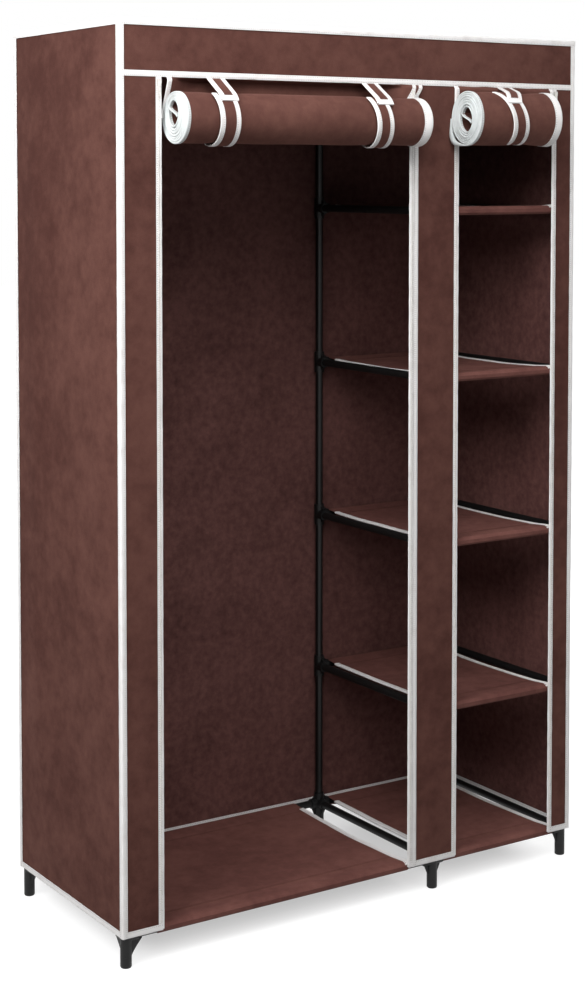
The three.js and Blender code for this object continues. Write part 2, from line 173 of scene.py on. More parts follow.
clothGrain = {  # what every cloth shares: its dots and fibres, and how much each adds to shade and relief
    "dots": 640.0, "fibre": 1400.0, "tint": (190, 140, 125), "specular": 0.15, "sheenRough": 0.5,
    "cloudDetail": (6.0, 0.62), "patchDetail": (5.0, 0.6), "fibreDetail": (2.0, 0.7),
    "shade": {"nap": 0.8, "fibre": 0.1, "dots": 0.1}, "height": {"dots": 0.7, "fibre": 0.3, "patch": 0.8}}


def clothPaint(name, look):
    paint = Paint(name, {
        "Sheen Weight": look["sheen"], "Sheen Roughness": clothGrain["sheenRough"],
        "Specular IOR Level": clothGrain["specular"], "Sheen Tint": screen(*clothGrain["tint"])})
    place = paint.place()
    cloud = paint.noise(place, look["cloud"], *clothGrain["cloudDetail"])
    patch = paint.noise(place, look["patch"], *clothGrain["patchDetail"])
    fibre = paint.noise(place, clothGrain["fibre"], *clothGrain["fibreDetail"])
    dots = paint.cells(place, clothGrain["dots"])
    nap = (cloud * look["cloudShare"] + patch * (1 - look["cloudShare"])).between(*look["contrast"])
    part, high = clothGrain["shade"], clothGrain["height"]
    shade = nap * part["nap"] + fibre * part["fibre"] + dots * part["dots"]
    paint.feed({
        "Base Color": paint.mix(shade, screen(*look["dark"]), screen(*look["light"])),
        "Roughness": shade.between(0.0, 1.0, *reversed(look["rough"]))})
    paint.bump(dots * high["dots"] + fibre * high["fibre"] + patch * high["patch"], look["relief"])
    return paint.material


# White folded binding tape: fine cross ribs, stitches beside its free edge, and a little handling dirt
tapeLook = {
    "white": (250, 248, 247), "grey": (238, 234, 232), "thread": (250, 249, 248), "hole": (176, 166, 163),
    "ribs": 620.0, "stitch": 0.0042, "dash": 0.72, "row": 0.0022, "threadWidth": 0.00045, "threadEdge": 2.2,
    "dirtScale": 26.0, "dirtDetail": (5.0, 0.6), "dirty": (0.42, 0.75), "rough": (0.3, 0.7, 0.62, 0.85),
    "height": {"ribs": 0.18, "pulled": 0.7, "thread": 0.9, "hole": 0.5}, "relief": 0.0003}
shadedEndTapeLook = {**tapeLook, "white": (218, 223, 223), "grey": (198, 203, 203)}  # painted shade: a greyer copy of the tape for the rolls' end faces, which lie in shade


def tapePaint(name, look):
    paint = Paint(name, {"Sheen Weight": 0.1, "Specular IOR Level": 0.35})
    along, across = paint.uv()
    dirt = paint.noise(paint.place(), look["dirtScale"], *look["dirtDetail"])
    ribs = 1.0 - (along * look["ribs"]).fraction().between(0.0, 1.0, -1.0, 1.0).absolute()
    fromRow = (across - look["row"]).absolute()
    inRow = fromRow.between(look["threadWidth"], look["threadWidth"] * look["threadEdge"], 1.0, 0.0)
    onDash = (along / look["stitch"]).fraction().under(look["dash"])
    thread = inRow * onDash
    hole = inRow * (1.0 - onDash)
    pulled = fromRow.between(0.0, look["row"])
    body = paint.mix(dirt.between(*look["dirty"]), screen(*look["white"]), screen(*look["grey"]))
    stitched = paint.mix(thread, body, screen(*look["thread"]))
    paint.feed({
        "Base Color": paint.mix(hole, stitched, screen(*look["hole"])),
        "Roughness": dirt.between(*look["rough"])})
    high = look["height"]
    raised = ribs * high["ribs"] + pulled * high["pulled"] + thread * high["thread"] - hole * high["hole"]
    paint.bump(raised, look["relief"])
    return paint.material


# Black painted steel tube, with dust and the fine relief of sprayed paint
steelLook = {
    "black": (13, 12, 12), "dust": (34, 31, 29), "rough": (0.42, 0.6), "dustNoise": (55.0, 6.0, 0.65),
    "dusty": (0.5, 0.8), "dustShare": 0.6, "spray": (900.0, 2.0), "relief": 0.00008}


def steelPaint(name, look):
    paint = Paint(name, {"Coat Roughness": 0.3, "Coat Weight": 0.08, "Specular IOR Level": 0.3})
    place = paint.place()
    dust = paint.noise(place, *look["dustNoise"]).between(*look["dusty"])
    paint.feed({
        "Base Color": paint.mix(dust * look["dustShare"], screen(*look["black"]), screen(*look["dust"])),
        "Roughness": dust.between(0.0, 1.0, *look["rough"])})
    paint.bump(paint.noise(place, *look["spray"]), look["relief"])
    return paint.material


# Black moulded plastic, spark-textured
plasticLook = {
    "black": (13, 13, 13), "worn": (34, 33, 32), "rough": (0.5, 0.68), "wornNoise": (40.0, 6.0, 0.65),
    "wornOver": (0.5, 0.78), "wornShare": 0.5, "spark": 1500.0, "relief": 0.00012}


def plasticPaint(name, look):
    paint = Paint(name, {"Specular IOR Level": 0.3})
    place = paint.place()
    worn = paint.noise(place, *look["wornNoise"]).between(*look["wornOver"])
    paint.feed({
        "Base Color": paint.mix(worn * look["wornShare"], screen(*look["black"]), screen(*look["worn"])),
        "Roughness": worn.between(0.0, 1.0, *look["rough"])})
    paint.bump(paint.cells(place, look["spark"]), look["relief"])
    return paint.material


# White enamel of the zip sliders and teeth, rubbed to grey metal in places
enamelLook = {
    "white": (232, 229, 224), "rubbed": (150, 147, 143), "rough": (0.25, 0.5), "wearNoise": (420.0, 5.0, 0.7),
    "wornOver": (0.56, 0.7), "metal": 0.6, "relief": 0.00006}


def enamelPaint(name, look):
    paint = Paint(name, {"Coat Weight": 0.2, "Coat Roughness": 0.1})
    wear = paint.noise(paint.place(), *look["wearNoise"]).between(*look["wornOver"])
    paint.feed({
        "Base Color": paint.mix(wear, screen(*look["white"]), screen(*look["rubbed"])),
        "Roughness": wear.between(0.0, 1.0, *look["rough"]),
        "Metallic": wear * look["metal"]})
    paint.bump(wear, look["relief"])
    return paint.material


paints = {
    "outer": clothPaint("brownClothOuter", outerCloth),
    "inner": clothPaint("brownClothInner", innerCloth),
    "rolled": clothPaint("brownClothRolled", rolledCloth),
    "shelf": clothPaint("brownClothShelf", shelfCloth),
    "tape": tapePaint("whiteBindingTape", tapeLook),
    "shadedEndTape": tapePaint("shadedEndBindingTape", shadedEndTapeLook),
    "steel": steelPaint("blackSteelTube", steelLook),
    "plastic": plasticPaint("blackMouldedPlastic", plasticLook),
    "enamel": enamelPaint("whiteEnamel", enamelLook),
}
print("materials made:", len(paints))


# A mesh into an object, smooth except at its sharp edges
def makeObject(name, bm, paint, sharp=40):
    mesh = bpy.data.meshes.new(name)
    bm.to_mesh(mesh)
    bm.free()
    mesh.materials.append(paints[paint])
    for polygon in mesh.polygons:
        polygon.use_smooth = True
    mesh.set_sharp_from_angle(angle=math.radians(sharp))
    piece = bpy.data.objects.new(name, mesh)
    bpy.context.scene.collection.objects.link(piece)
    return piece


# The normal of a form, from two short steps on it
def normalOf(form, u, v, step=0.0005):
    overU = form(u + step, v) - form(u - step, v)
    overV = form(u, v + step) - form(u, v - step)
    return overU.cross(overV).normalized()


# An open sheet gets its wall, on the side that its faces turn their backs to
def thicken(bm, thickness):
    bm.normal_update()
    bmesh.ops.solidify(bm, geom=bm.faces[:], thickness=thickness)
    bmesh.ops.recalc_face_normals(bm, faces=bm.faces)


# A flat cut of cloth laid into its place: form(u, v) is the middle of the cloth at a flat place in metres
def layCloth(name, width, length, cell, form, thickness, paint):
    bm = bmesh.new()
    across = max(1, round(width / cell[0]))
    along = max(1, round(length / cell[1]))
    bmesh.ops.create_grid(bm, x_segments=across, y_segments=along, size=0.5)
    flat = bm.loops.layers.uv.new("flat")
    for face in bm.faces:
        for loop in face.loops:
            loop[flat].uv = ((loop.vert.co.x + 0.5) * width, (loop.vert.co.y + 0.5) * length)
    for vert in bm.verts:
        u, v = (vert.co.x + 0.5) * width, (vert.co.y + 0.5) * length
        vert.co = form(u, v) + normalOf(form, u, v) * thickness / 2
    thicken(bm, thickness)
    return makeObject(name, bm, paint)


# Stops across a folded tape: one leg, the turn round the cloth's edge, and the other leg as its mirror
def foldStops(leg, turn, shares, steps):
    stops = [0, *[leg * share for share in shares], leg]
    stops += [leg + turn * k / steps for k in range(1, steps)]
    stops += [leg + turn, *[leg * (2 - share) + turn for share in reversed(shares)], 2 * leg + turn]
    return stops


# A flat length of tape, with each vertex's place across and along it
def cutTape(stops, start, length, cell):
    bm = bmesh.new()
    rows = max(1, round(length / cell))
    bmesh.ops.create_grid(bm, x_segments=len(stops) - 1, y_segments=rows, size=0.5)
    flat = bm.loops.layers.uv.new("flat")
    places = {}
    for vert in bm.verts:
        column = round((vert.co.x + 0.5) * (len(stops) - 1))
        places[vert] = (stops[column], start + (vert.co.y + 0.5) * length)
    for face in bm.faces:
        for loop in face.loops:
            a, v = places[loop.vert]
            loop[flat].uv = (v, min(a, stops[-1] - a))
    return bm, places


# Tape folded over one edge of a form: edge is the edge's u, and inward is 1 or -1 from it into the cloth.
# fold is half the space inside the fold, or gives it for v, and closes on the cloth towards the free edges
tapeFold = {"thickness": 0.0006, "half": 0.0009, "steps": 5, "shares": (0.3, 0.6, 0.85), "step": 0.001}


def bindEdge(name, form, edge, inward, start, end, width, cell, fold=tapeFold["half"]):
    half = tapeFold["half"]
    turn = math.pi * half
    stops = foldStops(width, turn, tapeFold["shares"], tapeFold["steps"])
    bm, places = cutTape(stops, start, end - start, cell)
    for vert, (a, v) in places.items():
        inside = max(0.0, width - a, a - width - turn)
        normal = normalOf(form, edge + inward * max(inside, tapeFold["step"]), v)
        space = fold(v) if callable(fold) else fold
        if inside > 0:
            close = half + (space - half) * ease(inside, width, 0)
            vert.co = form(edge + inward * inside, v) + normal * (close if a < width else -close)
        else:
            angle = min(1.0, max(0.0, (a - width) / turn)) * math.pi
            outwards = (form(edge, v) - form(edge + inward * tapeFold["step"], v)).normalized()
            vert.co = form(edge, v) + (outwards * math.sin(angle) + normal * math.cos(angle)) * space
    thicken(bm, tapeFold["thickness"] * inward)
    return makeObject(name, bm, "tape")


# A tape laid on the cover: profile(a, v) gives a point for a from 0 to its width, and faces is the way out
def runTape(name, stops, start, along, length, cell, profile, faces):
    bm, places = cutTape(stops, 0.0, length, cell)
    for vert, (a, v) in places.items():
        vert.co = start + along * v + profile(a, v)
    bm.normal_update()
    bm.faces.ensure_lookup_table()
    middle = bm.faces[len(stops) // 2]
    thicken(bm, tapeFold["thickness"] * (1 if middle.normal.dot(faces) > 0 else -1))
    return makeObject(name, bm, "tape")


# Folds and slack: smooth noise, the same each run
def wave(x, y, z, seed):
    return noise.noise(Vector((x, y, z + seed * 7.31)))


def ease(value, low, high):
    t = min(1.0, max(0.0, (value - low) / (high - low)))
    return t * t * (3 - 2 * t)


# Cover panels, slack between their seams: soft folds, and small puckers along the stitching
cover = {
    "cell": 0.011, "slack": 0.0075, "foldLength": 0.17, "foldHeight": 0.7, "foldLean": 0.45, "edge": 0.10,
    "pucker": 0.0006, "puckerLength": 0.024, "puckerDepth": 0.03, "puckerTurns": 20, "narrowUnder": 0.4,
    "wallShare": 0.8}
panelOrder = [
    "top", "back", "left_side", "right_side", "valance", "left_strip", "middle_strip", "right_strip"]


def coverForm(name, seed):
    low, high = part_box(f"cover_{name}")
    size = high - low
    thin = min(range(3), key=lambda axis: size[axis])
    first, second = [axis for axis in range(3) if axis != thin]
    middle = (low[thin] + high[thin]) / 2
    outward = 1 if middle > 0 and thin != 1 or name == "back" else -1

    def form(u, v):
        inFirst = min(u, size[first] - u)
        inSecond = min(v, size[second] - v)
        inside = max(0.0, min(inFirst, inSecond))
        point = Vector((0, 0, 0))
        point[first] = low[first] + u
        point[second] = low[second] + v
        narrow = min(1.0, min(size[first], size[second]) / cover["narrowUnder"])
        across = (u - cover["foldLean"] * v) / cover["foldLength"]
        fold = 0.5 + 0.5 * wave(across, v / cover["foldHeight"], 0, seed)
        lift = cover["slack"] * narrow * fold * ease(inside, 0, cover["edge"])
        nearer = math.exp(-inside / cover["puckerDepth"])
        run = v if inFirst < inSecond else u
        pucker = wave(run / cover["puckerLength"], inside * cover["puckerTurns"], 3, seed)
        point[thin] = middle + outward * (lift + cover["pucker"] * nearer * pucker)
        return point

    return form, size[first], size[second], size[thin]


panels = {}
for order, name in enumerate(panelOrder):
    form, width, length, thickness = coverForm(name, order)
    cell = (cover["cell"], cover["cell"])
    paint = "inner" if name in ("back", "right_side") else "outer"
    panel = layCloth(f"cover_{name}_cloth", width, length, cell, form, thickness * cover["wallShare"], paint)
    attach(panel, "root")
    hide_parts(f"cover_{name}")
    panels[name] = {"form": form, "width": width, "length": length, "piece": panel, "tapes": []}
print("cover panels laid:", len(panels))

# Bindings of the cover: the tapes' outer box gives their places
coverLow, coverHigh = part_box("cover_binding")
outerY = coverLow.y
seamZ = (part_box("cover_valance")[0].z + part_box("cover_left_strip")[1].z) / 2
binding = {
    "width": 0.011, "narrow": 0.0095, "cornerRound": 0.0028, "cell": 0.012, "swell": 0.0005,
    "standOff": 0.00015, "shares": (0.35, 0.7), "turnSteps": 4, "cornerUneven": 0.0004, "flatUneven": 0.0003,
    "unevenLength": 0.03, "unevenAcross": 90, "dome": 0.0006, "flatSteps": 6, "behind": 0.0006,
    "seamShort": 0.004, "seamLift": 0.0003, "overEdge": 0.0014, "outerEdge": 0.0017, "between": 0.001}
bindingPieces = []


def keepBinding(piece):
    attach(piece, "root")
    bindingPieces.append(piece)
    return piece


def unevenness(a, v, kind):  # how far a tape's face stands off true, different for each tape
    return wave(v / binding["unevenLength"], a * binding["unevenAcross"], kind, len(bindingPieces))


# A seam binding wrapped round a corner of the cover: one leg along each way from the corner line
def cornerTape(name, start, end, wayA, wayB, lift=0.0):
    start, end = Vector(start), Vector(end)
    wayA, wayB = Vector(wayA), Vector(wayB)
    radius = binding["cornerRound"]
    leg = binding["width"] - radius
    turn = radius * math.pi / 2
    stops = foldStops(leg, turn, binding["shares"], binding["turnSteps"])

    def profile(a, v):
        if a < leg:
            base = wayA * (radius + leg - a)
            out = -wayB
            inside = leg - a
        elif a > leg + turn:
            base = wayB * (radius + a - leg - turn)
            out = -wayA
            inside = a - leg - turn
        else:
            angle = (a - leg) / radius
            out = -wayB * math.cos(angle) - wayA * math.sin(angle)
            base = (wayA + wayB) * radius + out * radius
            inside = 0
        swell = binding["swell"] * math.cos(math.pi * min(1.0, inside / leg) / 2)
        return base + out * (lift + swell + binding["cornerUneven"] * unevenness(a, v, 1))

    way = end - start
    faces = -(wayA + wayB)
    keepBinding(runTape(name, stops, start, way.normalized(), way.length, binding["cell"], profile, faces))


(left, front, bottom), (right, back, top) = coverLow, coverHigh
corners = {
    "left_front": ((left, front), (1, 0, 0), (0, 1, 0)),
    "right_front": ((right, front), (-1, 0, 0), (0, 1, 0)),
    "left_back": ((left, back), (1, 0, 0), (0, -1, 0)),
    "right_back": ((right, back), (-1, 0, 0), (0, -1, 0))}
for corner, (place, wayA, wayB) in corners.items():
    cornerTape(f"corner_tape_{corner}", (*place, bottom), (*place, top), wayA, wayB)
topEdges = {
    "front": ((left, front), (right, front), (0, 1, 0)),
    "back": ((left, back), (right, back), (0, -1, 0)),
    "left": ((left, front), (left, back), (1, 0, 0)),
    "right": ((right, front), (right, back), (-1, 0, 0))}
for count, (edge, (start, end, wayIn)) in enumerate(topEdges.items()):
    lift = binding["standOff"] * (1 + count // 2)
    cornerTape(f"top_tape_{edge}", (*start, top), (*end, top), (0, 0, -1), wayIn, lift)


# A flat tape over a seam on the front, with soft edges
def flatTape(name, start, end, acrossWay, width, lift=0.0):
    start, end = Vector(start), Vector(end)
    acrossWay, face = Vector(acrossWay), Vector((0, -1, 0))
    stops = [width * k / binding["flatSteps"] for k in range(binding["flatSteps"] + 1)]

    def profile(a, v):
        dome = binding["dome"] * math.sin(math.pi * a / width)
        uneven = binding["flatUneven"] * unevenness(a, v, 2)
        return acrossWay * (a - width / 2) + face * (dome + uneven + lift)

    way = end - start
    keepBinding(runTape(name, stops, start, way.normalized(), way.length, binding["cell"], profile, face))


tapeY = outerY + binding["behind"]
seamLeft, seamRight = left + binding["seamShort"], right - binding["seamShort"]
flatTape("seam_tape", (seamLeft, tapeY, seamZ), (seamRight, tapeY, seamZ), (0, 0, 1), binding["width"],
         binding["seamLift"])


# The hems and doorway edges of a panel, bound with tape folded over them
def bindPanel(name, side):
    panel = panels[name]
    form, width, length = panel["form"], panel["width"], panel["length"]
    over = binding["overEdge"]
    sides = {
        "bottom": ("hem_tape", lambda u, v: form(v, u), -over, 1, width, binding["width"]),
        "low": ("edge_tape_1", form, -over, 1, length, binding["narrow"]),
        "high": ("edge_tape_2", form, width + over, -1, length, binding["width"])}
    tape, turned, edge, inward, end, tapeWidth = sides[side]
    piece = bindEdge(f"{name}_{tape}", turned, edge, inward, 0.0, end, tapeWidth, binding["cell"])
    panel["tapes"].append(keepBinding(piece))


for name in ("back", "left_side", "right_side", "left_strip", "middle_strip", "right_strip"):
    bindPanel(name, "bottom")
bindPanel("left_strip", "high")
bindPanel("middle_strip", "low")
bindPanel("middle_strip", "high")
bindPanel("right_strip", "low")
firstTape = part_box("cover_middle_strip")[0].x - binding["outerEdge"]
secondLine = firstTape + binding["narrow"] * 1.5 + binding["between"]  # its middle, a gap past the first
flatTape("middle_strip_second_tape", (secondLine, tapeY, bottom), (secondLine, tapeY, seamZ), (1, 0, 0),
         binding["narrow"])
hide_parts("cover_binding")
print("bindings sewn:", len(bindingPieces))


# A route in the Y-Z plane as points, and a place on it by its length
class Route:
    def __init__(self, points):
        self.points = points
        self.marks = [0.0]
        for before, after in zip(points, points[1:]):
            self.marks.append(self.marks[-1] + (after - before).length)
        self.length = self.marks[-1]

    def at(self, s):
        last = len(self.points) - 2
        k = next((k for k in range(last) if s < self.marks[k + 1]), last)
        share = (s - self.marks[k]) / (self.marks[k + 1] - self.marks[k])
        return self.points[k] + (self.points[k + 1] - self.points[k]) * share


def arcPoints(centre, radius, start, end, steps):
    angles = [start + (end - start) * k / steps for k in range(steps + 1)]
    return [centre + Vector((radius * math.cos(a), radius * math.sin(a))) for a in angles]


# Stitches as short threads of six sides along a line
stitch = {"length": 0.0032, "pitch": 0.0046, "width": 0.0006, "height": 0.0005, "sides": 6}


def stitchRow(bm, start, end, up):
    start, end, up = Vector(start), Vector(end), Vector(up)
    way = (end - start).normalized()
    count = int((end - start).length / stitch["pitch"])
    side = up.cross(way)
    for k in range(count):
        centre = start + way * stitch["pitch"] * (k + 0.5)
        made = bmesh.ops.create_cone(bm, segments=stitch["sides"], radius1=0.5, radius2=0.5, depth=1.0,
                                     cap_ends=True)
        for vert in made["verts"]:
            x, y, z = vert.co
            across = side * x * stitch["width"] + up * y * stitch["height"]
            vert.co = centre + way * z * stitch["length"] + across


# Shelf and base cloths: sleeves round the front and back tubes, slack between, with bowed and bound sides
sleeve = {
    "radius": 0.0089, "inBox": 0.0095, "stitchAt": 0.042, "rise": 0.0055, "sag": 0.003, "under": 0.0012,
    "thickness": 0.0011, "cell": (0.009, 0.00675), "arcSteps": 14, "spanSteps": 16, "wrinkle": 0.0014,
    "wrinkleLength": 0.06, "wrinkleDepth": 0.12, "tape": 0.010, "tapeCell": 0.009, "overEdge": 0.0014,
    "fold": 0.0017, "tapeEnd": 0.010, "stitchEnd": 0.004, "rowGap": 0.004, "stitchLift": 0.000825}
drawnIn = {"shelf": (0.001, 0.001), "base_cloth_right": (0.002, 0.0), "base_cloth_left": (0.002, 0.002)}


def sleeveCloth(node, seed, bow):
    low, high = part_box(node)
    radius = sleeve["radius"]
    front, back = low.y + sleeve["inBox"], high.y - sleeve["inBox"]
    level = high.z - sleeve["inBox"]
    middle = (front + back) / 2
    reach = (back - front) / 2
    width = high.x - low.x

    def tube(sign):  # the middle of the front tube at -1, of the back one at 1
        return Vector((middle + sign * reach, level))

    def joint(sign):  # where the cloth is sewn to itself
        return Vector((middle + sign * (reach - sleeve["stitchAt"]), level + sleeve["rise"]))

    def wrap(sign):
        toJoint = joint(sign) - tube(sign)
        lean = math.acos(radius / toJoint.length)
        base = math.atan2(toJoint.y, toJoint.x)
        return arcPoints(tube(sign), radius, base - lean, base + lean - 2 * math.pi, sleeve["arcSteps"])

    frontLoop, backLoop = wrap(-1), wrap(1)
    span = []
    for k in range(sleeve["spanSteps"] + 1):
        share = k / sleeve["spanSteps"]
        span.append(joint(-1).lerp(joint(1), share) - Vector((0, sleeve["sag"] * math.sin(math.pi * share))))
    lowFront = joint(-1) - Vector((0, sleeve["under"]))
    lowBack = joint(1) - Vector((0, sleeve["under"]))
    route = Route([lowFront, *frontLoop, *span, *backLoop, lowBack])

    def free(y):  # 0 at the sleeves, 1 in the middle of the span
        share = (y - (middle - reach + sleeve["stitchAt"])) / (2 * (reach - sleeve["stitchAt"]))
        return math.sin(math.pi * min(1.0, max(0.0, share)))

    def form(u, v):
        at = route.at(v)
        slack = free(at.x)
        left, right = bow[0] * slack, width - bow[1] * slack
        x = left + u * (right - left) / width
        ripple = wave(x / sleeve["wrinkleLength"], at.x / sleeve["wrinkleDepth"], 0, seed)
        return Vector((low.x + x, at.x, at.y + sleeve["wrinkle"] * ripple * slack))

    cloth = layCloth(f"{node}_sheet", width, route.length, sleeve["cell"], form, sleeve["thickness"], "shelf")
    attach(cloth, "root")
    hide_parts(node)
    spanStart = route.marks[len(frontLoop)] - sleeve["tapeEnd"]
    spanEnd = route.marks[len(frontLoop) + len(span)] + sleeve["tapeEnd"]
    edges = {"left": (-sleeve["overEdge"], 1), "right": (width + sleeve["overEdge"], -1)}
    for side, (edge, inward) in edges.items():
        tape = bindEdge(f"{node}_tape_{side}", form, edge, inward, spanStart, spanEnd, sleeve["tape"],
                        sleeve["tapeCell"], sleeve["fold"])
        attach(tape, "root")
    bm = bmesh.new()
    for sign in (-1, 1):
        at = joint(sign)
        for offset in (0.0, sleeve["rowGap"]):
            start = Vector((low.x + sleeve["stitchEnd"], at.x - sign * offset, at.y + sleeve["stitchLift"]))
            end = start + Vector((width - 2 * sleeve["stitchEnd"], 0, 0))
            stitchRow(bm, start, end, (0, 0, 1))
    threads = makeObject(f"{node}_stitches", bm, "rolled", 60)
    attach(threads, "root")


for k in (1, 2, 3, 4):
    sleeveCloth(f"shelf_cloth_{k}", 20 + k, drawnIn["shelf"])
sleeveCloth("base_cloth_right", 25, drawnIn["base_cloth_right"])
sleeveCloth("base_cloth_left", 26, drawnIn["base_cloth_left"])
print("shelf and base cloths sewn: 6")

# Rolled doors: the sheet wound in from behind, its ends bound with folded tape, its last length across the
# core. The core is drawn out of round, and lies off the middle of the roll
rollShape = {
    "turns": 6.93, "core": 0.018, "sheet": 0.0011, "wall": 0.0008, "cell": (0.012, 0.0075), "slack": 0.0012,
    "slackLength": 0.13, "slackRound": 0.7, "pinch": 0.0022, "pinchWidth": 0.028, "lobeLength": 0.02,
    "lobeAt": 0.75, "lobeWidth": 0.4, "endSlip": 0.0016, "slipTurn": 2.2, "slipLength": 0.12,
    "barShare": 0.8, "barBow": 0.003, "tapeGap": 0.0004, "coreFold": 0.0011, "leastFold": 0.0007,
    "tapeStart": 0.0005, "tapeShort": 0.001, "tapeCell": 0.005, "keep": 0.06}
doors = {
    "left_door": {
        "straps": ["left_door_strap_1", "left_door_strap_2"], "joint": "left_door_unroll", "seed": 31,
        "coreWide": 0.95, "coreTall": 1.25, "coreUp": 0.010, "coreBack": 0.008, "tapes": (0.006, 0.018),
        "start": 0.003, "back": 0.0, "up": 0.0, "tall": 1.0, "lobe": 0.0, "seamIn": (0.004, -0.033),
        "flareFrom": 1.0, "lines": ("left", "right", "second"), "recess": 0.018, "seamY": 0.0025},
    "right_door": {
        "straps": ["right_door_strap"], "joint": "right_door_unroll", "seed": 37,
        "coreWide": 1.0, "coreTall": 1.2, "coreUp": -0.002, "coreBack": 0.0, "tapes": (0.006, 0.016),
        "start": -0.005, "back": 0.006, "up": 0.0035, "tall": 1.12, "lobe": 0.009, "seamIn": (-0.015, -0.058),
        "flareFrom": 0.3, "lines": ("left", "right"), "recess": 0.0, "seamY": -0.0026}}


def rollForm(low, high, facts):
    axisY, axisZ = (low.y + high.y) / 2 + facts["back"], (low.z + high.z) / 2
    start = low.x + facts["start"]
    outer = (high.z - low.z) / 2 - rollShape["wall"]
    core = rollShape["core"]
    total = 2 * math.pi * rollShape["turns"]
    draw = (outer - core) / (2 * total)
    wound = outer * total - draw * total ** 2
    bar = 2 * core
    strapPlaces = [(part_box(strap)[0].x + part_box(strap)[1].x) / 2 for strap in facts["straps"]]

    def angleAt(v):
        return (outer - math.sqrt(max(0.0, outer ** 2 - 4 * draw * min(v, wound)))) / (2 * draw)

    def onTurn(angle, x):
        r = outer - 2 * draw * angle
        share = r / outer
        pinch = sum(math.exp(-((x - place) / rollShape["pinchWidth"]) ** 2) for place in strapPlaces)
        r -= rollShape["pinch"] * pinch * share ** 3
        around = rollShape["slackRound"]
        uneven = wave(x / rollShape["slackLength"], math.cos(angle) * around, math.sin(angle) * around,
                      facts["seed"])
        r += rollShape["slack"] * share * uneven
        inner = min(1.0, angle / total)
        wide = 1 + (facts["coreWide"] - 1) * inner
        tall = 1 + (facts["coreTall"] - 1) * inner
        lobe = facts["lobe"] * math.exp(-((x - start) / rollShape["lobeLength"]) ** 2)
        r += lobe * math.exp(-((angle - rollShape["lobeAt"]) / rollShape["lobeWidth"]) ** 2)
        y = axisY + r * wide * math.cos(angle) + facts["coreBack"] * inner
        z = axisZ + facts["up"] - r * tall * facts["tall"] * math.sin(angle) + facts["coreUp"] * inner
        return Vector((y, z))

    def form(u, v):
        x = start + u
        angle = angleAt(v)
        slip = rollShape["endSlip"] * wave(angle / rollShape["slipTurn"], facts["seed"], 0, 5)
        fade = rollShape["slipLength"]
        slip *= ease(u, fade, 0.0) - ease(u, high.x - start - fade, high.x - start)
        at = onTurn(angle, x)
        if v > wound:
            share = (v - wound) / bar
            far = onTurn(total - math.pi, x)
            middle = onTurn(total, x).lerp(far, 0.5)
            far = middle + (far - middle) * rollShape["barShare"]
            at = at.lerp(far, share) + Vector((rollShape["barBow"] * math.sin(2 * math.pi * share), 0))
        return Vector((x + slip, at.x, at.y))

    def fold(v):  # the tape nearly fills the space to the next turn
        angle = angleAt(v)
        if v > wound or angle > total - 2 * math.pi:
            return rollShape["coreFold"]
        pitch = (onTurn(angle, low.x) - onTurn(angle + 2 * math.pi, low.x)).length
        return max(rollShape["leastFold"], (pitch - rollShape["tapeGap"]) / 2 - tapeFold["thickness"])

    return form, fold, high.x - start, wound + bar


def doorRoll(door, facts):
    node = f"{door}_roll"
    form, fold, width, length = rollForm(*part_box(node), facts)
    roll = layCloth(f"{node}_sheet", width, length, rollShape["cell"], form, rollShape["sheet"], "rolled")
    tapes = []
    tapeEnd = length - rollShape["tapeShort"]
    leftWide, rightWide = facts["tapes"]
    for side, edge, inward, wide in (("left", 0.0, 1, leftWide), ("right", width, -1, rightWide)):
        tape = bindEdge(f"{node}_tape_{side}", form, edge, inward, rollShape["tapeStart"], tapeEnd, wide,
                        rollShape["tapeCell"], fold)
        # the left end faces get the greyer tape of painted shade
        if side == "left":
            tape.data.materials[0] = paints["shadedEndTape"]
        tapes.append(tape)
    for piece in (roll, *tapes):
        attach(piece, door)
        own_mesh(piece)
    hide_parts(node)


for door, facts in doors.items():
    doorRoll(door, facts)
print("doors rolled:", len(doors))

# The stretch of a door between the seam and its roll, which grows as the door comes down
curtain = {
    "thickness": 0.0011, "cell": (0.011, 0.0022), "ripple": 0.0016, "rippleLength": 0.085, "rippleAt": 0.3,
    "rippleRise": 4, "tape": 0.008, "tapeCell": 0.0022, "tapeLead": 0.001, "secondGap": 0.008,
    "seamBack": 0.0008, "rollGap": 0.0011, "leftRun": (0, 0.07), "rightRun": (0.03, 0.09), "endY": -0.0048,
    "freeTop": (0.004, 0.03), "freeLow": (0.0, 0.02), "belowFold": (-0.0005, 0.005), "backAt": 0.005}
foldDrop = 0.0057  # the fold of curtain and straps, below the top of the straps' boxes


